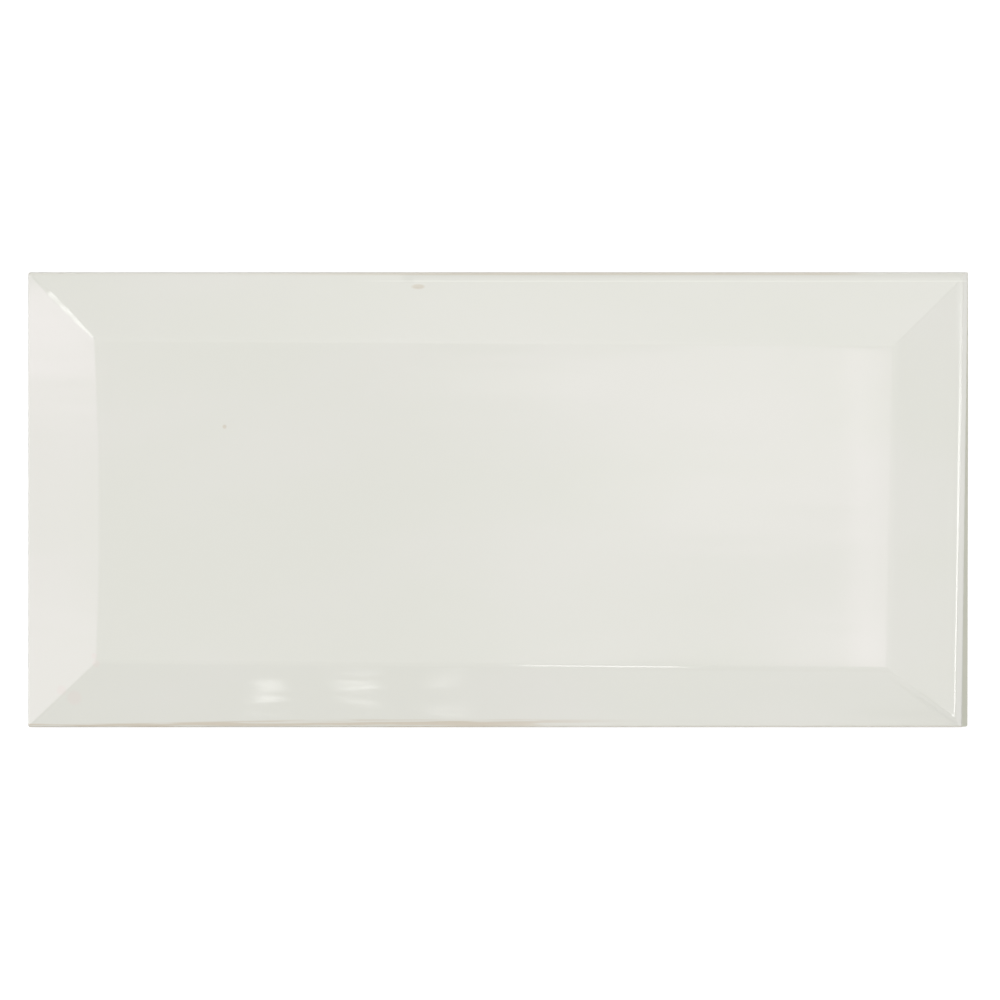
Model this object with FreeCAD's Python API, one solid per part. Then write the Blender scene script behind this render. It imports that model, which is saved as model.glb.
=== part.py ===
import FreeCAD
import Part

import math
import os

# A bevelled subway wall tile: dust-pressed clay, glazed and fired as one piece.
#
# The face is a flat raised field with a sloping border on all four sides. The borders meet in
# soft mitre ridges, and the outer arris rolls over into the side walls. The walls stand upright
# under the arris and lean in towards the back. The back is a flat margin round a lattice of
# ribs, with shallow pockets between them that the adhesive keys into.
#
# X runs along the tile, Y across it and Z out of its face. The origin is the middle of the back.

# Face and walls, in millimetres
tile_length = 150.0  # over the side walls
tile_width = 72.6  # over the side walls
tile_thickness = 7.5  # from the back to the raised field
arris_height = 4.8  # from the back to the line where a border and its wall would meet
border_width = 11.2  # in plan, from the wall to the line where field and border would meet
shoulder_radius = 4.0  # between the field and its borders
arris_radius = 1.2  # between the borders and the walls
corner_radius = 0.5  # in plan, of the four upright corners and of the mitre ridges above them
lean_height = 1.8  # below this height the walls lean in
wall_lean = 0.35  # how far each wall has come in at the back
lean_radius = 3.0  # where a wall starts to lean
back_edge_radius = 0.4

# Key pockets on the back
key_margin = 6.0  # flat border between the edge of the back and the first pocket
key_pitch = 12.0  # wanted spacing, which is fitted to a whole number of pockets
key_rib_width = 2.2
key_depth = 0.7
key_draft = 0.5  # how far each pocket wall has come in at the floor
key_corner_radius = 1.2


def softened(points, radii):
    """Edges along a path of points, with each inner point turned by its radius."""
    edges = []
    start = points[0]
    for before, corner, after, radius in zip(points, points[1:], points[2:], radii):
        back = (before - corner).normalize()
        onward = (after - corner).normalize()
        half_angle = back.getAngle(onward) / 2
        run = radius / math.tan(half_angle)
        middle = corner + (back + onward).normalize() * (radius / math.sin(half_angle) - radius)
        edges.append(Part.LineSegment(start, corner + back * run).toShape())
        edges.append(Part.Arc(corner + back * run, middle, corner + onward * run).toShape())
        start = corner + onward * run
    edges.append(Part.LineSegment(start, points[-1]).toShape())
    return edges


def ring(length, width, radius, height):
    """The edges of a rounded rectangle about the Z axis, an arc and a line for each corner."""
    middle_x = length / 2 - radius
    middle_y = width / 2 - radius
    arcs = []
    for quarter, (x, y) in enumerate([(1, 1), (-1, 1), (-1, -1), (1, -1)]):
        circle = Part.Circle()
        circle.Center = FreeCAD.Vector(x * middle_x, y * middle_y, height)
        circle.Radius = radius
        start = quarter * math.pi / 2
        arcs.append(Part.Arc(circle, start, start + math.pi / 2))
    edges = []
    for arc, following in zip(arcs, arcs[1:] + arcs[:1]):
        edges.append(arc.toShape())
        edges.append(Part.LineSegment(arc.EndPoint, following.StartPoint).toShape())
    return edges


def tile_ring(inset, height):
    """The tile's outline in plan, drawn in by inset on every side."""
    return ring(tile_length - 2 * inset, tile_width - 2 * inset, corner_radius, height)


def wall_section():
    """The tile's section at one side wall, from the back round to the field.

    X is the distance in from the wall and Z the height."""
    corners = [(border_width, 0), (wall_lean, 0), (0, lean_height), (0, arris_height),
               (border_width, tile_thickness), (2 * border_width, tile_thickness)]
    radii = [back_edge_radius, lean_radius, arris_radius, shoulder_radius]
    return softened([FreeCAD.Vector(x, 0, z) for x, z in corners], radii)


def as_spline(edge):
    """The curve of an edge, between its ends, as a spline."""
    return edge.Curve.toBSpline(edge.FirstParameter, edge.LastParameter)


def flat_band(edge):
    """The faces that a straight edge of the section leaves all round the tile."""
    rings = [tile_ring(vertex.X, vertex.Z) for vertex in edge.Vertexes]
    return Part.makeLoft([Part.Wire(edges) for edges in rings], False, True).Faces


def curved_band(edge):
    """The faces that an arc of the section leaves all round the tile.

    Each pole of the arc stands for a ring at its own inset and height, and each face runs
    through the poles of one edge in every ring, so the arc keeps its radius along the sides."""
    arc = as_spline(edge)
    rings = [tile_ring(pole.x, pole.z) for pole in arc.getPoles()]
    faces = []
    for edges in zip(*rings):
        rows = [as_spline(row) for row in edges]
        across = rows[0]
        weights = [[own * other for other in across.getWeights()] for own in arc.getWeights()]
        surface = Part.BSplineSurface()
        surface.buildFromPolesMultsKnots(
            [row.getPoles() for row in rows],
            arc.getMultiplicities(), across.getMultiplicities(),
            arc.getKnots(), across.getKnots(),
            False, False, arc.Degree, across.Degree, weights)
        faces.append(surface.toShape())
    return faces


def blank():
    """The tile before its back is keyed, as one closed solid."""
    section = wall_section()
    back, field = section[0].lastVertex(), section[-1].firstVertex()
    faces = [Part.Face(Part.Wire(tile_ring(end.X, end.Z))) for end in (back, field)]
    for edge in section[1:-1]:
        is_arc = isinstance(edge.Curve, Part.Circle)
        faces += curved_band(edge) if is_arc else flat_band(edge)
    shell = Part.makeShell(faces)
    shell.sewShape()
    return Part.makeSolid(shell)


def key_row(span):
    """How many pockets fit along a span of the back, and their pitch."""
    count = max(1, round((span + key_rib_width) / key_pitch))
    return count, (span + key_rib_width) / count


def key_pads():
    """The pads of the punch that press the pockets, widest at the pocket's mouth."""
    edge_loss = 2 * (wall_lean + key_margin)
    count_x, pitch_x = key_row(tile_length - edge_loss)
    count_y, pitch_y = key_row(tile_width - edge_loss)
    # A pad carries on below the back at the same draft, so that it cuts clean through the face
    rings = []
    for height, wider in [(-key_depth, key_draft), (key_depth, -key_draft)]:
        length = pitch_x - key_rib_width + 2 * wider
        width = pitch_y - key_rib_width + 2 * wider
        rings.append(Part.Wire(ring(length, width, key_corner_radius, height)))
    pad = Part.makeLoft(rings, True, True)
    pads = []
    for column in range(count_x):
        for row in range(count_y):
            x = (column - (count_x - 1) / 2) * pitch_x
            y = (row - (count_y - 1) / 2) * pitch_y
            pads.append(pad.translated(FreeCAD.Vector(x, y, 0)))
    return Part.makeCompound(pads)


def main():
    os.makedirs("parts", exist_ok=True)
    tile = blank().cut(key_pads()).Solids[0]
    tile.exportStep("parts/tile.step")
    size = tile.optimalBoundingBox()
    print(f"tile: valid {tile.isValid()}, {tile.Volume / 1000:.2f} cm3, {len(tile.Faces)} faces")
    print(f"size: {size.XLength:.3f} x {size.YLength:.3f} x {size.ZLength:.3f} mm")


main()
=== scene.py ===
import math

import bmesh
import bpy
from bpy.props import FloatProperty, FloatVectorProperty, IntProperty, PointerProperty
from mathutils import Matrix, Vector


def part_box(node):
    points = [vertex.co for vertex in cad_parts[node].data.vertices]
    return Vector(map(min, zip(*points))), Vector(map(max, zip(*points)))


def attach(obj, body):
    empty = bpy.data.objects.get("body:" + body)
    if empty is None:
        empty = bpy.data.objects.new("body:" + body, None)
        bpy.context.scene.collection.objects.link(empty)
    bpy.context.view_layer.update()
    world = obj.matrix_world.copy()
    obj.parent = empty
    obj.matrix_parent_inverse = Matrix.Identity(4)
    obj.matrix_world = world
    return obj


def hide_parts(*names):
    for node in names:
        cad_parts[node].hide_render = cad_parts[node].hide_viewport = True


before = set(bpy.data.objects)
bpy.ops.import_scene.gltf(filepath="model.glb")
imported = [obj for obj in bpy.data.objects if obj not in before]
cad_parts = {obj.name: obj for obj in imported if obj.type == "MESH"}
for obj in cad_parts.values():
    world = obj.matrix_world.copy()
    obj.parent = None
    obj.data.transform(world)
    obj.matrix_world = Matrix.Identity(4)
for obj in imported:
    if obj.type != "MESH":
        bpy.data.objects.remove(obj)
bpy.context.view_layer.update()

bl_info = {
    "name": "Bevelled Wall Tile",
    "version": (1, 0, 0),
    "blender": (4, 5, 0),
    "location": "3D View > Sidebar > Wall Tile",
    "description": "Models a glazed wall tile with bevelled borders, and the studio that shows it",
    "category": "Add Mesh",
}

# The CAD tile's box. The modelled tile fills the same box.
tile_low, tile_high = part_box("tile")
TILE_LENGTH, TILE_WIDTH, TILE_THICKNESS = tile_high - tile_low

MM = 0.001
TOUCH = 0.01 * MM  # how near a point has to be to count as on a line of the tile
CUT_TOUCH = TOUCH / 10  # how near a point has to be to a cut to count as on it
LIP_HEIGHT = 0.1 * MM  # height of the step at the foot of the glaze
MATERIAL_NAMES = ("gloss_glaze", "bare_biscuit")
# Flaws of the glaze, in millimetres: X, Y and radius of the stained spots, and X, Y, length and
# width of the pinhole and the mark
BLUSHES = ((-67.5, -31.5, 1.5), (-69.5, -30.3, 1), (-63.9, -26, 0.8), (-64.2, -24.8, 0.6))
DENTS = ((-43.5, 11.6, 0.6, 0.5), (-12.8, 33.95, 1.9, 0.6))

# How the camera and the lamps stand to the tile
WHITE = (1, 1, 1)
WARM = (1, 0.83, 1)  # tint that the windows leave on the glaze
CAMERA_ASIDE = (0.24 * MM, -0.04 * MM)  # the camera isn't quite over the middle
ROLL_HEIGHT = 3.7 * MM  # of the rolled edge, from which the camera's height is measured
LAMP_DISTANCE = 0.45  # from the glaze to most of the lamps that it mirrors


def length(name, description, default_mm):
    """A length in the panel, given here in millimetres."""
    return FloatProperty(name=name, description=description, default=default_mm * MM,
                         unit="LENGTH", precision=5)


def slope(name, description, default_degrees):
    """A slope in the panel, given here in degrees."""
    return FloatProperty(name=name, description=description, default=math.radians(default_degrees),
                         unit="ROTATION")


def colour(name, description, default):
    return FloatVectorProperty(name=name, description=description, default=default,
                               size=3, min=0, max=1, subtype="COLOR")


class TileShape(bpy.types.PropertyGroup):
    """The sizes of the tile, as the real die and glaze left them"""
    edge_height: length("Edge height", "From the back to where border and wall would meet", 4.8)
    left_border: length("Left border", "Mean width of the left border, in plan", 11.1)
    left_swing: length("Left swing", "How much wider the left border is at its lower end", 0.25)
    left_bow: length("Left bow", "How far the left border bulges into the field", 0.75)
    right_border: length("Right border", "Mean width of the right border, in plan", 12.45)
    right_swing: length("Right swing", "How much wider the right border is at its lower end", 1.0)
    top_border: length("Top border", "Mean width of the top border, in plan", 11.2)
    top_swing: length("Top swing", "How much wider the top border is at its right end", 0.7)
    bottom_border: length("Bottom border", "Mean width of the bottom border, in plan", 9.95)
    bottom_swing: length("Bottom swing", "How much wider it is at its right end", -1.3)
    shoulder_radius: length("Shoulder radius", "Between the field and its borders", 4.0)
    left_roll: length("Left roll", "Radius of the left arris", 0.3)
    top_roll: length("Top roll", "Radius of the top arris", 0.55)
    bottom_roll: length("Bottom roll", "Radius of the bottom arris", 0.5)
    crease_top: length("Crease, top", "From the right side to its border's crease, upper end", 1.1)
    crease_bottom: length("Crease, bottom", "The same at its lower end", 2.43)
    crease_slope: slope("Crease slope", "How steeply the border falls beyond the crease", 27)
    flat_top: length("Flat, top", "Width in plan of the right side's steep flat, upper end", 0.1)
    flat_bottom: length("Flat, bottom", "The same at its lower end", 1.2)
    flat_slope: slope("Flat slope", "How steeply that flat falls", 57)
    crease_roll: length("Crease roll", "Radius of the crease in the right border", 3.2)
    right_roll: length("Right roll", "Radius of the other long edges on the right side", 0.5)
    corner_radius: length("Corner radius", "Of the mitre ridges and upright corners, in plan", 0.25)
    ridge_radius: length("Ridge radius", "Of the upper left mitre ridge at its widest", 0.52)
    bead_inset: length("Bead inset", "From the top side to the glaze bead that runs along it", 1.45)
    bead_height: length("Bead height", "How far that bead stands up", 0.026)
    bead_start: length("Bead start", "Where along the tile that bead begins", -13.5)
    dent_depth: length("Dent depth", "Of the pinhole and the mark in the glaze", 0.04)
    glaze_foot: length("Glaze foot", "Height at which the glaze ends on the walls", 1.75)
    glaze_proud: length("Glaze step", "How far the glaze stands out from the bare wall", 0.1)
    foot_wander: length("Foot wander", "How unevenly the glaze ends on the walls", 0.5)
    lean_height: length("Lean height", "Below this height the walls lean in", 1.3)
    back_inset: length("Back inset", "How far the walls have come in at the back", 0.35)
    back_edge: length("Back edge", "How far the edge of the back is softened", 0.3)
    key_margin: length("Key margin", "Flat border of the back outside the pockets", 6.0)
    key_pitch: length("Key pitch", "Wanted spacing of the pockets", 12.0)
    key_rib: length("Key rib", "Width of the ribs between the pockets", 2.2)
    key_depth: length("Key depth", "Depth of the pockets", 0.7)
    key_draft: length("Key draft", "How far each pocket wall comes in at the floor", 0.5)
    key_corner: length("Key corner", "Radius of the pocket corners", 1.2)
    columns: IntProperty(name="Columns", description="Cells of the field along its length",
                         default=56, min=4)
    rows: IntProperty(name="Rows", description="Cells of the field across its width",
                      default=26, min=4)


class TileFinish(bpy.types.PropertyGroup):
    """The colours of glaze and fired body"""
    glaze: colour("Glaze", "The even colour of the glaze", (0.735, 0.735, 0.675))
    glaze_warm: colour("Warm glaze", "The glaze where it pooled thicker", (0.755, 0.745, 0.70))
    # Painted highlight: a lighter glaze colour along the raised bead stands in for the glint on it
    bead_highlight: colour("White glaze", "The glaze on the raised bead", (0.80, 0.80, 0.74))
    blush: colour("Blush", "The glaze where the body stained it", (0.76, 0.66, 0.62))
    # Painted shade: a darker, greener glaze colour on the steep right flat stands in for the shade
    # it lies in
    flat_shade: colour("Deep glaze", "The glaze on the right side's steep flat", (0.715, 0.717, 0.58))
    body: colour("Body", "The fired body under the glaze", (0.60, 0.52, 0.41))
    body_dark: colour("Dark body", "Specks and scuffs of the body", (0.44, 0.36, 0.27))


class TileStudio(bpy.types.PropertyGroup):
    """The camera and the light"""
    camera_height: length("Camera height", "Above the rolled edge of the tile", 665.4)
    key_radiance: FloatProperty(name="Key light", description="Radiance of the overhead light",
                                default=2.67, min=0)
    fill_radiance: FloatProperty(name="Fill light", description="Radiance of the room",
                                 default=0.2, min=0)


def choose(piece):
    """Selects one object alone and makes it the active one."""
    bpy.ops.object.select_all(action="DESELECT")
    bpy.context.view_layer.objects.active = piece
    piece.select_set(True)


def start_edit(piece):
    """Opens one mesh in edit mode, with nothing else selected."""
    choose(piece)
    bpy.ops.object.mode_set(mode="EDIT")


def end_edit():
    bpy.ops.object.mode_set(mode="OBJECT")


def pick(kind, wanted):
    """Selects just the vertices, edges or faces of the mesh in edit mode that are wanted."""
    bpy.ops.mesh.select_mode(type=kind)
    bpy.ops.mesh.select_all(action="DESELECT")
    mesh = bpy.context.edit_object.data
    net = bmesh.from_edit_mesh(mesh)
    parts = {"VERT": net.verts, "EDGE": net.edges, "FACE": net.faces}[kind]
    for part in parts:
        if wanted(part):
            part.select_set(True)
    net.select_flush_mode()
    bmesh.update_edit_mesh(mesh)


def apply_modifier(piece, kind, **settings):
    """Adds a modifier to a finished mesh and applies it."""
    choose(piece)
    modifier = piece.modifiers.new(kind.lower(), kind)
    for name, value in settings.items():
        setattr(modifier, name, value)
    bpy.ops.object.modifier_apply(modifier=modifier.name)


class Level:
    """One level of the tile's section: a rectangle in plan, at a height."""

    def __init__(self, left, right, bottom, top, height):
        self.left, self.right, self.bottom, self.top = left, right, bottom, top
        self.centre = Vector(((left + right) / 2, (bottom + top) / 2, height))
        self.length = right - left
        self.width = top - bottom
        self.height = height


def wall_level(inset, height):
    """The level where the walls stand in by an inset from the tile's outline."""
    return Level(tile_low.x + inset, tile_high.x - inset,
                 tile_low.y + inset, tile_high.y - inset, height)


def grow(old, new):
    """Extrudes the open rim of the mesh from one level of the section to the next."""
    pick("EDGE", lambda edge: edge.is_boundary)
    bpy.ops.mesh.extrude_edges_move()
    bpy.ops.transform.resize(value=(new.length / old.length, new.width / old.width, 1),
                             center_override=old.centre)
    bpy.ops.transform.translate(value=new.centre - old.centre)


def cage(shape):
    """The tile with sharp edges: the field as a grid, then its borders, walls and back."""
    field = Level(tile_low.x + shape.left_border, tile_high.x - shape.right_border,
                  tile_low.y + shape.bottom_border, tile_high.y - shape.top_border, tile_high.z)
    bpy.ops.mesh.primitive_grid_add(x_subdivisions=shape.columns, y_subdivisions=shape.rows,
                                    size=1, location=(0, 0, 0))
    piece = bpy.context.object
    piece.name = "glazed_tile"
    piece.data.name = "glazed_tile"
    start_edit(piece)
    bpy.ops.mesh.select_all(action="SELECT")
    bpy.ops.transform.resize(value=(field.length, field.width, 1), center_override=(0, 0, 0))
    bpy.ops.transform.translate(value=field.centre)
    levels = [
        field,
        wall_level(0, shape.edge_height),
        wall_level(0, shape.glaze_foot),
        wall_level(shape.glaze_proud, shape.glaze_foot - LIP_HEIGHT),
        wall_level(shape.glaze_proud, shape.lean_height),
        wall_level(shape.back_inset, 0),
    ]
    for old, new in zip(levels, levels[1:]):
        grow(old, new)
    pick("EDGE", lambda edge: edge.is_boundary)
    bpy.ops.mesh.edge_face_add()
    bpy.ops.mesh.select_all(action="SELECT")
    bpy.ops.mesh.normals_make_consistent(inside=False)
    return piece, field


def swing_borders(shape, field):
    """Swings each side of the field about its middle, so its border is wider at one end."""
    moved = 6 * TOUCH  # the first two swings shift the ends of the other two sides a little
    sides = (
        (0, field.right, shape.right_swing, field.width, TOUCH),
        (0, field.left, -shape.left_swing, field.width, TOUCH),
        (1, field.top, shape.top_swing, field.length, moved),
        (1, field.bottom, -shape.bottom_swing, field.length, moved),
    )
    for axis, place, growth, side_length, slack in sides:
        pick("VERT", lambda vert: abs(vert.co.z - field.height) < TOUCH
             and abs(vert.co[axis] - place) < slack)
        middle = field.centre.copy()
        middle[axis] = place
        bpy.ops.transform.rotate(value=math.atan2(growth, side_length), orient_axis="Z",
                                 center_override=middle)


def bow_left_border(shape, field):
    """Bulges the left side of the field's outline inwards, most in its middle."""
    reach = field.length / shape.columns / 2
    for row in range(1, shape.rows):
        across = 2 * row / shape.rows - 1
        y = field.centre.y + across * field.width / 2
        pick("VERT", lambda v: abs(v.co.z - field.height) < TOUCH
             and abs(v.co.x - field.left) < reach and abs(v.co.y - y) < reach / 2)
        bpy.ops.transform.translate(value=(shape.left_bow * (1 - across ** 2), 0, 0))


def is_upward(face):
    return face.normal.z > 0.99999


def is_downward(face):
    return face.normal.z < -0.99999


def is_top_border(face):
    """Whether a face slopes gently down towards the top side, as only that border does."""
    return 0.05 < face.normal.y < 0.5 and face.normal.z > 0.9


def round_shoulder(shape):
    """Turns the field softly down into its borders."""
    tilt = math.atan2(TILE_THICKNESS - shape.edge_height, shape.left_border)
    pick("EDGE", lambda edge: len({is_upward(face) for face in edge.link_faces}) == 2)
    bpy.ops.mesh.bevel(offset_type="OFFSET", offset=shape.shoulder_radius * math.tan(tilt / 2),
                       segments=8, profile=0.5, affect="EDGES")


def slope_normal(out, along, steepness):
    """The normal of a surface that holds a line and falls away outwards at a slope."""
    fall = Vector((out[0], out[1], 0)) * math.cos(steepness) - Vector((0, 0, math.sin(steepness)))
    return fall.cross(along).normalized()


def shave(place, normal):
    """Cuts off what lies beyond a plane, and closes the cut."""
    bpy.ops.mesh.select_all(action="SELECT")
    bpy.ops.mesh.bisect(plane_co=place, plane_no=normal, use_fill=True, clear_outer=True,
                        threshold=CUT_TOUCH)


def roll(place, first, second, radius, cuts):
    """Rolls the edge between two flats with a row of narrow cuts, all tangent to one cylinder.

    The place is on the edge, and first and second are the normals of the two flats."""
    axis = place - radius * (first + second) / (1 + first.dot(second))
    for cut in range(1, cuts + 1):
        normal = first.slerp(second, cut / (cuts + 1))
        shave(axis + radius * normal, normal)


def shave_right_side(shape):
    """Cuts the right arris's two flats: a gentle one beyond a crease, and a steep one under it.

    Both get wider towards the lower end."""
    out = (1, 0)
    rise = (TILE_THICKNESS - shape.edge_height) / shape.right_border
    crease_line, flat_line, foot_line = [], [], []
    ends = ((tile_low.y, shape.crease_bottom, shape.flat_bottom),
            (tile_high.y, shape.crease_top, shape.flat_top))
    for y, crease, flat in ends:
        height = shape.edge_height + rise * crease
        crease_line.append(Vector((tile_high.x - crease, y, height)))
        height -= (crease - flat) * math.tan(shape.crease_slope)
        flat_line.append(Vector((tile_high.x - flat, y, height)))
        foot_line.append(Vector((tile_high.x, y, height - flat * math.tan(shape.flat_slope))))
    lines = (crease_line, flat_line, foot_line)
    slopes = (math.atan(rise), shape.crease_slope, shape.flat_slope, math.radians(90))
    for steepness, line in zip(slopes[1:], lines[:2]):
        shave(line[0], slope_normal(out, line[1] - line[0], steepness))
    radii = (shape.crease_roll, shape.right_roll, shape.right_roll)
    cut_counts = (6, 4, 3)
    for line, radius, cuts, before, beyond in zip(lines, radii, cut_counts, slopes, slopes[1:]):
        along = line[1] - line[0]
        first, second = (slope_normal(out, along, steepness) for steepness in (before, beyond))
        roll(line[0], first, second, radius, cuts)
    flat = slope_normal(out, flat_line[1] - flat_line[0], shape.flat_slope)
    roll(flat_line[0], flat, Vector((0, -1, 0)), shape.corner_radius, cuts=3)
    # The flat runs out at its upper end, so the plain arris shows there
    crease = slope_normal(out, (0, 1, 0), shape.crease_slope)
    roll(flat_line[1], crease, Vector((1, 0, 0)), shape.right_roll, cuts=5)


def roll_sides(shape):
    """Rolls the left, top and bottom borders over into their walls."""
    drop = TILE_THICKNESS - shape.edge_height
    sides = (
        ((-1, 0), tile_low.x, shape.left_border, shape.left_roll),
        ((0, 1), tile_high.y, shape.top_border, shape.top_roll),
        ((0, -1), tile_low.y, shape.bottom_border, shape.bottom_roll),
    )
    for out, reach, border, radius in sides:
        place = Vector((abs(out[0]) * reach, abs(out[1]) * reach, shape.edge_height))
        along = Vector((-out[1], out[0], 0))
        slope_to_wall = slope_normal(out, along, math.atan(drop / border))
        roll(place, slope_to_wall, Vector((*out, 0)), radius, cuts=7)
    # The left corners, which are already round in plan and roll over a little more softly
    softer = 1.3
    for y, border, radius in ((tile_high.y, shape.top_border, shape.top_roll),
                              (tile_low.y, shape.bottom_border, shape.bottom_roll)):
        out = Vector((-1, math.copysign(1, y), 0)).normalized()
        along = Vector((-out[1], out[0], 0))
        ridge = math.atan(drop / math.hypot(shape.left_border, border))
        inward = shape.corner_radius * (math.sqrt(2) - 1)
        corner = Vector((tile_low.x, y, shape.edge_height))
        place = corner - inward * out + Vector((0, 0, inward * math.tan(ridge)))
        roll(place, slope_normal(out, along, ridge), out, softer * radius, cuts=5)


def raise_bead(shape):
    """Raises the thin bead of glaze along the right part of the top border."""
    crest = tile_high.y - shape.bead_inset
    row_width = 5 * shape.bead_height
    for row in range(-2, 3):
        pick("FACE", lambda face: is_top_border(face)
             and face.calc_center_median().x > shape.bead_start)
        bpy.ops.mesh.bisect(plane_co=(0, crest + row * row_width, 0), plane_no=(0, 1, 0),
                            threshold=CUT_TOUCH)
    # The rows beside the crest rise once and the crest twice, from one column after the cuts start
    start = shape.bead_start + TILE_LENGTH / shape.columns
    end = tile_high.x - shape.bead_inset
    for rows in (1, 0):
        pick("VERT", lambda vert: abs(vert.co.y - crest) < rows * row_width + TOUCH
             and vert.co.z > shape.edge_height and start < vert.co.x < end)
        bpy.ops.transform.translate(value=(0, 0, shape.bead_height / 2))


def dent(x, y, size_x, size_y, depth):
    """Sinks a small rectangle of the glaze a little, with sloping sides."""
    spans = ((0, x, size_x), (1, y, size_y))

    def on_face(face):
        return face.normal.z > 0.5

    def is_near(face):
        return on_face(face) and all(
            min(v.co[axis] for v in face.verts) < middle + size / 2
            and max(v.co[axis] for v in face.verts) > middle - size / 2
            for axis, middle, size in spans)

    for axis, middle, size in spans:
        normal = Vector((axis == 0, axis == 1, 0))
        for edge in (middle - size / 2, middle + size / 2):
            pick("FACE", is_near)
            bpy.ops.mesh.bisect(plane_co=normal * edge, plane_no=normal, threshold=CUT_TOUCH)
    pick("FACE", lambda face: on_face(face) and all(
        abs(v.co[axis] - middle) < size / 2 + TOUCH
        for v in face.verts for axis, middle, size in spans))
    bpy.ops.mesh.inset(thickness=min(size_x, size_y) / 3, depth=-depth)


def turns_corner(edge):
    """Whether an edge lies between two neighbouring sides of the tile."""
    if len(edge.link_faces) != 2:
        return False
    across = [Vector(face.normal.xy) for face in edge.link_faces]
    if any(side.length < 0.003 for side in across):  # a level face is part of no side
        return False
    return across[0].angle(across[1]) > math.radians(60)


def on_left_ridge(edge):
    """Whether an edge is part of the long upper left mitre ridge."""
    is_long = edge.calc_length() > 3 * MM
    return is_long and turns_corner(edge) and all(vert.co.x < 0 < vert.co.y for vert in edge.verts)


def round_edges(shape):
    """Softens the foot of the walls, then the ridges and the upright corners."""
    pick("EDGE", lambda edge: all(abs(vert.co.z) < TOUCH for vert in edge.verts))
    bpy.ops.mesh.bevel(offset_type="OFFSET", offset=shape.back_edge, segments=4, affect="EDGES")
    pick("EDGE", on_left_ridge)
    bpy.ops.mesh.subdivide(number_cuts=2)
    net = bmesh.from_edit_mesh(bpy.context.edit_object.data)
    crests = {tuple(vert.co) for edge in net.edges if on_left_ridge(edge) for vert in edge.verts}
    crests = [Vector(crest) for crest in sorted(crests)][1:-1]
    pick("EDGE", turns_corner)
    bpy.ops.mesh.bevel(offset_type="ABSOLUTE", offset=shape.corner_radius, segments=6,
                       affect="EDGES")
    # The upper left ridge is softer than the others, most in its middle
    growth = shape.ridge_radius / shape.corner_radius
    for crest in crests:
        pick("VERT", lambda vert: (vert.co - crest).length < 2 * shape.corner_radius)
        bpy.ops.transform.resize(value=(growth, growth, growth), center_override=crest)


def clear_slivers():
    """Dissolves the faces without area that crossing cuts leave."""
    bpy.ops.mesh.select_all(action="SELECT")
    bpy.ops.mesh.dissolve_degenerate(threshold=TOUCH / 4)


def level_faces():
    """Brings points that the bevels pushed past the back or the field level with them again."""
    levels = ((0, lambda vert: vert.co.z < 0),
              (tile_high.z, lambda vert: vert.co.z > tile_high.z))
    for height, is_beyond in levels:
        pick("VERT", is_beyond)
        bpy.ops.transform.resize(value=(1, 1, 0), center_override=(0, 0, height))


def key_row(span, shape):
    """How many pockets fit along a span of the back, and their pitch."""
    count = max(1, round((span + shape.key_rib) / shape.key_pitch))
    return count, (span + shape.key_rib) / count


def press_keys(shape):
    """Presses the pockets into the back."""
    edge_loss = 2 * (shape.back_inset + shape.key_margin)
    spans = (TILE_LENGTH - edge_loss, TILE_WIDTH - edge_loss)
    centres = []
    for axis, span in enumerate(spans):
        count, pitch = key_row(span, shape)
        mouth = pitch - shape.key_rib
        middles = [(index - (count - 1) / 2) * pitch for index in range(count)]
        centres.append(middles)
        normal = Vector((axis == 0, axis == 1, 0))
        for middle in middles:
            for edge in (middle - mouth / 2, middle + mouth / 2):
                pick("FACE", is_downward)
                bpy.ops.mesh.bisect(plane_co=normal * edge, plane_no=normal)

    def is_mouth(face):
        middle = face.calc_center_median()
        return is_downward(face) and all(
            any(abs(middle[axis] - wanted) < 10 * TOUCH for wanted in centres[axis])
            for axis in (0, 1))

    def is_pocket_corner(edge):
        low, high = sorted(vert.co.z for vert in edge.verts)
        return high - low > shape.key_depth / 2 and all(
            abs(v.co.x) < spans[0] / 2 + TOUCH and abs(v.co.y) < spans[1] / 2 + TOUCH
            and v.co.z < shape.key_depth + TOUCH for v in edge.verts)

    pick("FACE", is_mouth)
    bpy.ops.mesh.inset(thickness=shape.key_draft, depth=-shape.key_depth, use_individual=True)
    pick("EDGE", is_pocket_corner)
    # The corners of two neighbouring pockets share the rib between them, a little under half each
    corner = min(shape.key_corner, 0.48 * shape.key_rib)
    bpy.ops.mesh.bevel(offset_type="ABSOLUTE", offset=corner, segments=4, affect="EDGES")


def wander_foot(piece, shape):
    """Lets the lower edge of the glaze wander up and down the walls."""
    foot = piece.vertex_groups.new(name="glaze_foot")
    low, high = shape.glaze_foot - LIP_HEIGHT - TOUCH, shape.glaze_foot + TOUCH
    foot.add([vert.index for vert in piece.data.vertices if low < vert.co.z < high], 1, "REPLACE")
    runs = bpy.data.textures.new("glaze_runs", "CLOUDS")
    runs.noise_scale = 9 * MM  # about the length of a run along the wall
    apply_modifier(piece, "DISPLACE", texture=runs, direction="Z", vertex_group=foot.name,
                   strength=shape.foot_wander, mid_level=0.5)
    piece.vertex_groups.remove(piece.vertex_groups["glaze_foot"])
    bpy.data.textures.remove(runs)


def paint_faces(piece, shape):
    """Gives the glaze all that lies above its foot, and the bare body the rest."""
    for name in MATERIAL_NAMES:
        piece.data.materials.append(bpy.data.materials[name])
    highest_foot = shape.glaze_foot + shape.foot_wander / 2
    bare_height = shape.lean_height + shape.foot_wander / 4  # a bare face starts under this
    start_edit(piece)
    pick("FACE", lambda face: face.normal.z < -0.1
         or max(v.co.z for v in face.verts) < highest_foot
         and min(v.co.z for v in face.verts) < bare_height)
    piece.active_material_index = MATERIAL_NAMES.index("bare_biscuit")
    bpy.ops.object.material_slot_assign()
    end_edit()


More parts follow.
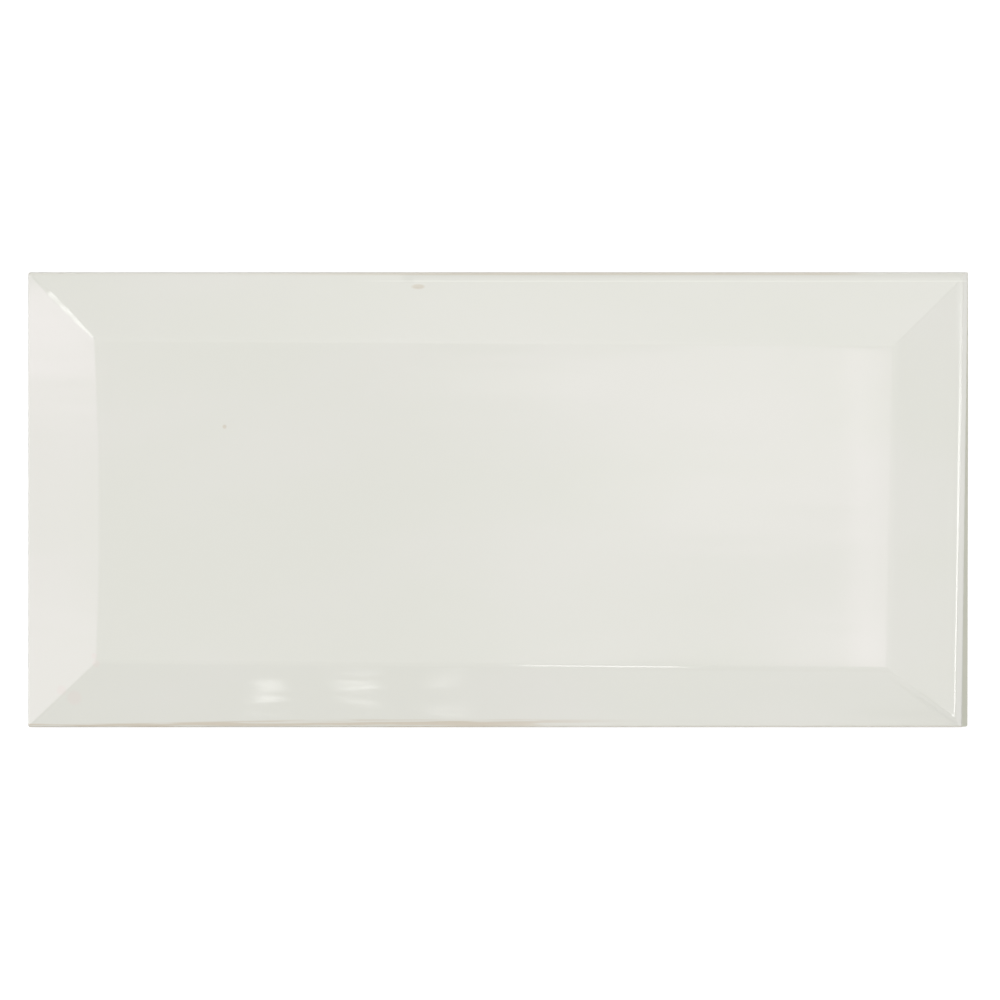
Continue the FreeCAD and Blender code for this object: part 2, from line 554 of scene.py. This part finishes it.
def smooth(piece):
    """Shades the soft edges smoothly and keeps the flats flat."""
    choose(piece)
    bpy.ops.object.shade_smooth_by_angle(angle=math.radians(32))
    apply_modifier(piece, "WEIGHTED_NORMAL", mode="FACE_AREA", keep_sharp=True, weight=80, thresh=0)


def build_tile(shape):
    """Models the whole tile, from the sharp cage to the shaded piece."""
    piece, field = cage(shape)
    swing_borders(shape, field)
    bow_left_border(shape, field)
    round_shoulder(shape)
    round_edges(shape)
    shave_right_side(shape)
    roll_sides(shape)
    raise_bead(shape)
    clear_slivers()
    for x, y, size_x, size_y in DENTS:
        dent(x * MM, y * MM, size_x * MM, size_y * MM, shape.dent_depth)
    level_faces()
    press_keys(shape)
    end_edit()
    wander_foot(piece, shape)
    paint_faces(piece, shape)
    smooth(piece)
    return piece


class Surface:
    """A material's nodes, added and joined one after the other."""

    def __init__(self, name):
        self.material = bpy.data.materials.new(name)
        self.material.use_nodes = True
        self.tree = self.material.node_tree
        self.shader = self.tree.nodes["Principled BSDF"]
        self.place = self.add("TexCoord").outputs["Object"]

    def add(self, kind, sockets=None, **settings):
        """Adds a node. A socket gets a value, or is joined to another node's output."""
        made = self.tree.nodes.new("ShaderNode" + kind)
        for name, value in settings.items():
            setattr(made, name, value)
        for name, value in (sockets or {}).items():
            self.put(made.inputs[name], value)
        return made

    def put(self, socket, value):
        """Gives a socket a value, or joins it to another node's output."""
        if isinstance(value, bpy.types.NodeSocket):
            self.tree.links.new(value, socket)
        elif socket.type == "RGBA":
            socket.default_value = (*value, 1)
        else:
            socket.default_value = value

    def scaled(self, stretch):
        """The place on the tile, stretched for a pattern that runs along it."""
        return self.add("Mapping", {"Vector": self.place, "Scale": stretch}).outputs["Vector"]

    def noise(self, vector, scale, detail=2.0, roughness=0.5):
        return self.add("TexNoise", {"Vector": vector, "Scale": scale, "Detail": detail,
                                     "Roughness": roughness}).outputs["Fac"]

    def maths(self, operation, first, second=0.0, third=0.0):
        return self.add("Math", {0: first, 1: second, 2: third}, operation=operation).outputs[0]

    def ramp(self, value, low, high, to_low=0.0, to_high=1.0):
        """Maps a value smoothly from one range to another."""
        return self.add("MapRange", {"Value": value, "From Min": low, "From Max": high,
                                     "To Min": to_low, "To Max": to_high},
                        interpolation_type="SMOOTHSTEP").outputs["Result"]

    def blend(self, amount, first, second):
        """Mixes two colours: the first where the amount is 0, the second where it is 1."""
        made = self.add("Mix", data_type="RGBA")
        self.put(made.inputs["Factor"], amount)
        self.put(made.inputs[6], first)
        self.put(made.inputs[7], second)
        return made.outputs[2]

    def spot(self, x_mm, y_mm, reach_x, reach_y):
        """Is 1 around a place on the face, and fades out where its reach ends."""
        place = self.scaled((1 / (reach_x * MM), 1 / (reach_y * MM), 0))
        offset = self.add("VectorMath", {0: place, 1: (x_mm / reach_x, y_mm / reach_y, 0)},
                          operation="DISTANCE").outputs["Value"]
        return self.ramp(offset, 1, 0.5)

    def bump(self, height, distance, normal=None):
        sockets = {"Height": height, "Distance": distance, "Strength": 1.0}
        if normal is not None:
            sockets["Normal"] = normal
        return self.add("Bump", sockets).outputs["Normal"]


def clouds(glaze, finish):
    """The even colour of the glaze, warmer in faint clouds."""
    density = glaze.noise(glaze.scaled((1, 2.2, 1)), 26, detail=3)
    return glaze.blend(glaze.ramp(density, 0.35, 0.7, 0, 0.6),
                       tuple(finish.glaze), tuple(finish.glaze_warm))


def thin_top(glaze, along, across):
    """How far the body shows through the glaze on the top arris, most towards its right."""
    thin = glaze.ramp(across, tile_high.y - 0.62 * MM, tile_high.y - 0.38 * MM)
    thin = glaze.maths("MULTIPLY", thin, glaze.ramp(along, -50 * MM, 0, 0.12, 0.55))
    return glaze.maths("MULTIPLY", thin, glaze.ramp(along, 62 * MM, 52 * MM, 0.2, 1))


def thin_bottom(glaze, along, across):
    """How far the body shows through on the bottom arris, in fine lines towards its left."""
    lines = glaze.noise(glaze.scaled((0.03, 1, 0.2)), 2600, detail=1)
    lines = glaze.ramp(lines, 0.42, 0.58, 0.25, 1)
    reach = glaze.ramp(along, -72 * MM, -20 * MM, 0.7 * MM, 1.5 * MM)
    height = glaze.maths("SUBTRACT", across, tile_low.y)
    fade = glaze.ramp(height, reach, glaze.maths("MULTIPLY", reach, 0.65))
    lines = glaze.maths("MULTIPLY", lines, fade)
    lines = glaze.maths("MULTIPLY", lines, glaze.ramp(along, 26 * MM, -5 * MM, 0.03, 0.75))
    rim = glaze.ramp(across, tile_low.y + 0.4 * MM, tile_low.y + 0.2 * MM, 0, 0.35)
    return glaze.maths("MAXIMUM", lines, rim)


def flaws(glaze, finish, base):
    """Adds the stained spots, and darkens the pinhole and the mark towards the body's colour:
    partly their own colour, partly painted shade in their hollows.
    """
    for x, y, radius in BLUSHES:
        stain = glaze.maths("MULTIPLY", glaze.spot(x, y, radius, radius), 0.3)
        base = glaze.blend(stain, base, tuple(finish.blush))
    for x, y, size_x, size_y in DENTS:
        # Partly painted shade: each dent is darkened towards the body's colour
        dent_darkening = glaze.maths("MULTIPLY", glaze.spot(x, y, size_x * 0.7, size_y * 0.85), 0.5)
        base = glaze.blend(dent_darkening, base, tuple(finish.body))
    return base


def painted_bead_highlight(glaze, along, across, bead_inset):
    """Is 1 on the bead along the top border, which starts near the middle of the tile: the mask of
    the painted highlight along it.
    """
    off_bead = glaze.maths("ABSOLUTE", glaze.maths("SUBTRACT", across, tile_high.y - bead_inset))
    return glaze.maths("MULTIPLY", glaze.ramp(off_bead, 0.15 * MM, 0.05 * MM),
                       glaze.ramp(along, -24 * MM, -13 * MM))


def painted_flat_shade(glaze, along, across):
    """Is 1 on the steep flat along the right side, which runs a little aslant: the mask of its
    painted shade.
    """
    slanted = glaze.maths("MULTIPLY_ADD", across, -0.0125, along)
    return glaze.ramp(slanted, 74.25 * MM, 74.5 * MM)


def glaze_relief(glaze):
    """The normal of the glaze: long waves, curtain streaks and orange peel."""
    waves = glaze.noise(glaze.scaled((0.35, 1, 1)), 45, detail=2, roughness=0.4)
    streaks = glaze.noise(glaze.scaled((0.08, 1, 1)), 190, detail=2, roughness=0.5)
    peel = glaze.noise(glaze.place, 900, detail=1)
    bumped = glaze.bump(waves, 0.25 * MM)
    bumped = glaze.bump(streaks, 0.035 * MM, bumped)
    return glaze.bump(peel, 0.0006 * MM, bumped)


def glaze_material(finish, bead_inset):
    """Gloss off-white glaze, thin on the long arrises, with painted shade on the steep right flat
    and a painted highlight along the top bead.
    """
    glaze = Surface("gloss_glaze")
    place = glaze.add("SeparateXYZ", {"Vector": glaze.place}).outputs
    along, across = place["X"], place["Y"]
    thin = glaze.maths("MAXIMUM", thin_bottom(glaze, along, across), thin_top(glaze, along, across))
    base = glaze.blend(thin, clouds(glaze, finish), tuple(finish.body))
    base = flaws(glaze, finish, base)
    # Painted highlight: the glaze is made lighter along the top bead
    bead = painted_bead_highlight(glaze, along, across, bead_inset)
    base = glaze.blend(bead, base, tuple(finish.bead_highlight))
    # Painted shade: the steep right flat is tinted darker and greener
    base = glaze.blend(painted_flat_shade(glaze, along, across), base, tuple(finish.flat_shade))
    glaze.put(glaze.shader.inputs["Base Color"], base)
    glaze.put(glaze.shader.inputs["Normal"], glaze_relief(glaze))
    glaze.shader.inputs["Roughness"].default_value = 0.05
    glaze.shader.inputs["IOR"].default_value = 1.5


def biscuit_material(finish):
    """The bare fired body: matt, slightly sandy, with small dark specks."""
    biscuit = Surface("bare_biscuit")
    mottle = biscuit.noise(biscuit.place, 140, detail=4, roughness=0.6)
    specks = biscuit.noise(biscuit.place, 1900, detail=2)
    dark = tuple(finish.body_dark)
    base = biscuit.blend(biscuit.ramp(mottle, 0.35, 0.75, 0, 0.35), tuple(finish.body), dark)
    base = biscuit.blend(biscuit.ramp(specks, 0.62, 0.72, 0, 0.6), base, dark)
    biscuit.put(biscuit.shader.inputs["Base Color"], base)
    biscuit.put(biscuit.shader.inputs["Normal"], biscuit.bump(specks, 0.05 * MM))
    biscuit.shader.inputs["Roughness"].default_value = 0.88
    biscuit.shader.inputs["Specular IOR Level"].default_value = 0.3


def seen_directly(tree):
    """Is 1 where a ray comes from the camera, a mirror image or a clear body."""
    rays = tree.nodes.new("ShaderNodeLightPath")
    total = rays.outputs["Is Camera Ray"]
    for name in ("Is Glossy Ray", "Is Transmission Ray"):
        either = tree.nodes.new("ShaderNodeMath")
        either.operation = "MAXIMUM"
        tree.links.new(total, either.inputs[0])
        tree.links.new(rays.outputs[name], either.inputs[1])
        total = either.outputs[0]
    return total


def lay_floor():
    """A plain white floor that keeps the tile's shadow."""
    bpy.ops.object.select_all(action="DESELECT")
    bpy.ops.mesh.primitive_plane_add(size=8, location=(0, 0, 0))
    floor = bpy.context.object
    floor.name = "studio_floor"
    paper = bpy.data.materials.new("paper")
    paper.use_nodes = True
    tree = paper.node_tree
    shader = tree.nodes["Principled BSDF"]
    shader.inputs["Base Color"].default_value = (0.4, 0.4, 0.4, 1)
    shader.inputs["Roughness"].default_value = 1.0
    shader.inputs["Specular IOR Level"].default_value = 0.0
    shader.inputs["Emission Color"].default_value = (*WHITE, 1)
    # The paper looks white to the camera without lighting the walls of the tile
    glow = tree.nodes.new("ShaderNodeMath")
    glow.operation = "MULTIPLY"
    glow.inputs[1].default_value = 0.82
    tree.links.new(seen_directly(tree), glow.inputs[0])
    tree.links.new(glow.outputs[0], shader.inputs["Emission Strength"])
    floor.data.materials.append(paper)


def light_room(studio):
    """A white room that lights the tile only a little."""
    world = bpy.data.worlds.new("room")
    bpy.context.scene.world = world
    world.use_nodes = True
    tree = world.node_tree
    background = tree.nodes["Background"]
    background.inputs["Color"].default_value = (*WHITE, 1)
    level = tree.nodes.new("ShaderNodeMapRange")
    level.inputs["To Min"].default_value = studio.fill_radiance
    level.inputs["To Max"].default_value = 1.0
    tree.links.new(seen_directly(tree), level.inputs["Value"])
    tree.links.new(level.outputs["Result"], background.inputs["Strength"])


def area_lamp(name, place, toward, size_x, size_y, radiance, tint=WHITE):
    """A rectangular lamp at a place, facing a point, with a given radiance."""
    bpy.ops.object.light_add(type="AREA", location=place)
    lamp = bpy.context.object
    lamp.name = name
    lamp.rotation_euler = (Vector(place) - Vector(toward)).to_track_quat("Z", "Y").to_euler()
    lamp.data.shape = "RECTANGLE"
    lamp.data.size = size_x
    lamp.data.size_y = size_y
    lamp.data.energy = radiance * math.pi * size_x * size_y
    lamp.data.color = tint
    lamp.visible_camera = False
    return lamp


def soften_lamp(lamp, soft):
    """Fades a lamp towards its edges.

    Soft is the faded share of its width or height at its left, right, lower and upper side."""
    lamp.data.use_nodes = True
    tree = lamp.data.node_tree
    across = tree.nodes.new("ShaderNodeSeparateXYZ")
    tree.links.new(tree.nodes.new("ShaderNodeNewGeometry").outputs["Parametric"], across.inputs[0])
    strength = None
    sides = (("X", 0, soft[0]), ("X", 1, 1 - soft[1]), ("Y", 0, soft[2]), ("Y", 1, 1 - soft[3]))
    for axis, edge, full in sides:
        fade = tree.nodes.new("ShaderNodeMapRange")
        fade.interpolation_type = "SMOOTHSTEP"
        fade.inputs["From Min"].default_value = edge
        fade.inputs["From Max"].default_value = full
        tree.links.new(across.outputs[axis], fade.inputs["Value"])
        product = tree.nodes.new("ShaderNodeMath")
        product.operation = "MULTIPLY"
        tree.links.new(fade.outputs["Result"], product.inputs[0])
        if strength is None:
            product.inputs[1].default_value = 1
        else:
            tree.links.new(strength, product.inputs[1])
        strength = product.outputs[0]
    tree.links.new(strength, tree.nodes["Emission"].inputs["Strength"])


def camera_place(studio):
    """Nearly over the middle of the tile, from where the camera looks straight down."""
    return Vector((*CAMERA_ASIDE, studio.camera_height + ROLL_HEIGHT))


def mirrored_lamp(eye, name, spot, size, radiance, tilt=(0, 0), distance=LAMP_DISTANCE,
                  tint=WHITE, turn=0, soft=None):
    """A lamp that the camera, at eye, sees mirrored in the glaze at a spot of the tile.

    The spot is in millimetres, and the glaze there tilts by so many degrees to the right and
    to the top. The size is the lamp's own, in metres, and turn is in degrees. It lights nothing
    but the gloss."""
    spot = Vector(spot) * MM
    facing = Vector((*(math.tan(math.radians(angle)) for angle in tilt), 1)).normalized()
    sight = (spot - eye).normalized()
    away = sight - 2 * sight.dot(facing) * facing
    across = Vector((math.cos(math.radians(turn)), math.sin(math.radians(turn)), 0))
    across = (across - away * across.dot(away)).normalized()
    lamp = area_lamp(name, spot + away * distance, spot, *size, radiance, tint)
    lamp.visible_diffuse = False
    lamp.rotation_euler = Matrix((across, away.cross(across), away)).transposed().to_euler()
    if soft:
        soften_lamp(lamp, soft)


def set_camera(studio):
    bpy.ops.object.camera_add(location=camera_place(studio), rotation=(0, 0, 0))
    camera = bpy.context.object
    camera.name = "studio_camera"
    camera.data.lens = 150
    camera.data.clip_start = 0.01
    bpy.context.scene.camera = camera


def light_field(eye, far):
    """A wall and a window across the right half of the field, the window's edge and its foot.

    They hang as high as the camera, so the flat field mirrors them at half their size."""
    mirrored_lamp(eye, "room_side", (18, -1, 7.5), (0.178, 0.12), 0.6, distance=far,
                  soft=(0.5, 0.02, 0.1, 0.02))
    mirrored_lamp(eye, "room_streak", (0, 17, 7.5), (0.1, 0.034), 0.6, distance=far, tint=WARM,
                  soft=(0.6, 0.3, 0.4, 0.2))
    mirrored_lamp(eye, "window_low", (31, 10.5, 7.5), (0.108, 0.076), 0.9, distance=far, tint=WARM,
                  soft=(0.6, 0.02, 0.35, 0.02))
    mirrored_lamp(eye, "window_edge", (59.4, -1, 7.5), (0.0148, 0.12), 1.15, distance=far,
                  tint=WARM)
    mirrored_lamp(eye, "window_foot", (51, -22.5, 7.5), (0.042, 0.036), 0.7, distance=far,
                  tint=WARM, soft=(0.5, 0.1, 0.02, 0.6))


def light_left_border(eye):
    """A window wall, brighter towards the border's ends, and the rim of light at its arris."""
    tilt = (-11, 0)
    mirrored_lamp(eye, "left_wall", (-69, 0, 6), (0.12, 0.17), 1.15, tilt, tint=WARM,
                  soft=(0.02, 0.5, 0.02, 0.02))
    mirrored_lamp(eye, "left_window_top", (-69, 29, 6), (0.12, 0.07), 1.5, tilt, tint=WARM,
                  soft=(0.02, 0.5, 0.5, 0.1))
    mirrored_lamp(eye, "left_window_low", (-69, -22, 6), (0.12, 0.05), 0.7, tilt, tint=WARM,
                  soft=(0.02, 0.5, 0.1, 0.5))
    mirrored_lamp(eye, "left_edge", (-74.9, 0, 4.6), (0.28, 0.17), 5, (-33, 0))


def light_long_arrises(eye):
    """The wall over the top border, and the rims of light at the top and bottom arrises."""
    mirrored_lamp(eye, "top_wall", (0, 30.5, 6), (0.34, 0.26), 1.05, (0, 9),
                  soft=(0.6, 0.02, 0.02, 0.02))
    mirrored_lamp(eye, "top_edge", (0, 36.1, 4.6), (0.3, 0.28), 2.6, (0, 33))
    mirrored_lamp(eye, "bottom_edge", (28, -36.1, 4.6), (0.2, 0.28), 3.2, (0, -33),
                  soft=(0.5, 0.05, 0.05, 0.05))


def light_right_border(eye):
    """The wall beside the right border, the band beyond its crease and the lower right ridge."""
    mirrored_lamp(eye, "right_wall", (69, 0, 6), (0.2, 0.17), 0.7, (7.5, 0))
    mirrored_lamp(eye, "right_band", (74, 0, 4.8), (0.06, 0.24), 1.7, (27, 0),
                  tint=(0.97, 0.92, 1))
    mirrored_lamp(eye, "corner_wall", (69, -31, 5.5), (0.2, 0.14), 0.7, (6, -7.8), turn=51,
                  soft=(0.3, 0.3, 0.2, 0.2))


def light_bottom_border(eye):
    """A wall below the bottom border, and five small panes of a window in its left part."""
    mirrored_lamp(eye, "bottom_wall", (28, -31, 6), (0.16, 0.04), 0.7, (0, -15.6),
                  soft=(0.5, 0.1, 0.1, 0.1))
    panes = ((-37, -28.2, 9), (-37, -29.9, 4), (-23, -28.1, 10), (-23, -29.3, 6), (-9.8, -29.2, 4))
    for x, y, radiance in panes:
        mirrored_lamp(eye, "bottom_pane", (x, y, 6), (0.012, 0.0022), radiance, (0, -15),
                      soft=(0.3,) * 4)


def light_highlights(eye):
    """The sharp highlights on the lower shoulder, the upper left ridge and the right crease."""
    mirrored_lamp(eye, "shoulder_light", (15.5, -26.7, 7.4), (0.045, 0.03), 6, (0, -7))
    mirrored_lamp(eye, "ridge_light", (-67.5, 29, 6), (0.23, 0.035), 5, (-6.9, 6.9), turn=45,
                  soft=(0.1, 0.1, 0.3, 0.3))
    mirrored_lamp(eye, "right_strip", (73, 5.7, 5), (0.17, 0.16), 7.5, (18.4, 0),
                  soft=(0.2, 0.2, 0.05, 0.6))


def build_stage(studio):
    """Sets up the floor, the room, the camera and all that the glaze mirrors."""
    lay_floor()
    light_room(studio)
    key = area_lamp("overhead_light", (-0.15, 0.12, 2.03), (0, 0, 0), 2.4, 2.4,
                    studio.key_radiance)
    key.visible_glossy = False
    set_camera(studio)
    eye = camera_place(studio)
    light_field(eye, studio.camera_height)
    light_left_border(eye)
    light_long_arrises(eye)
    light_right_border(eye)
    light_bottom_border(eye)
    light_highlights(eye)


class WALLTILE_OT_tile(bpy.types.Operator):
    """Model the glazed tile and its materials"""
    bl_idname = "walltile.tile"
    bl_label = "Make Tile"

    def execute(self, context):
        shape = context.scene.wall_tile_shape
        finish = context.scene.wall_tile_finish
        glaze_material(finish, shape.bead_inset)
        biscuit_material(finish)
        piece = build_tile(shape)
        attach(piece, "root")
        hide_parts("tile")
        return {"FINISHED"}


class WALLTILE_OT_stage(bpy.types.Operator):
    """Set up the floor, the light and the camera"""
    bl_idname = "walltile.stage"
    bl_label = "Set Up Studio"

    def execute(self, context):
        build_stage(context.scene.wall_tile_studio)
        return {"FINISHED"}


class WALLTILE_PT_panel(bpy.types.Panel):
    """Wall tile tools in the sidebar"""
    bl_idname = "WALLTILE_PT_panel"
    bl_label = "Wall Tile"
    bl_space_type = "VIEW_3D"
    bl_region_type = "UI"
    bl_category = "Wall Tile"

    def draw(self, context):
        for operator, group in ((WALLTILE_OT_tile, "wall_tile_shape"), (None, "wall_tile_finish"),
                                (WALLTILE_OT_stage, "wall_tile_studio")):
            values = getattr(context.scene, group)
            box = self.layout.box()
            for name in values.__annotations__:
                box.prop(values, name)
            if operator:
                box.operator(operator.bl_idname)


PROPERTIES = {
    "wall_tile_shape": TileShape,
    "wall_tile_finish": TileFinish,
    "wall_tile_studio": TileStudio,
}
CLASSES = (*PROPERTIES.values(), WALLTILE_OT_tile, WALLTILE_OT_stage, WALLTILE_PT_panel)


def register():
    for kind in CLASSES:
        bpy.utils.register_class(kind)
    for name, kind in PROPERTIES.items():
        setattr(bpy.types.Scene, name, PointerProperty(type=kind))


def unregister():
    for name in PROPERTIES:
        delattr(bpy.types.Scene, name)
    for kind in reversed(CLASSES):
        bpy.utils.unregister_class(kind)


def main():
    register()
    bpy.ops.walltile.tile()
    bpy.ops.walltile.stage()
    bpy.context.scene.view_settings.view_transform = "Standard"


if __name__ == "__main__":
    main()
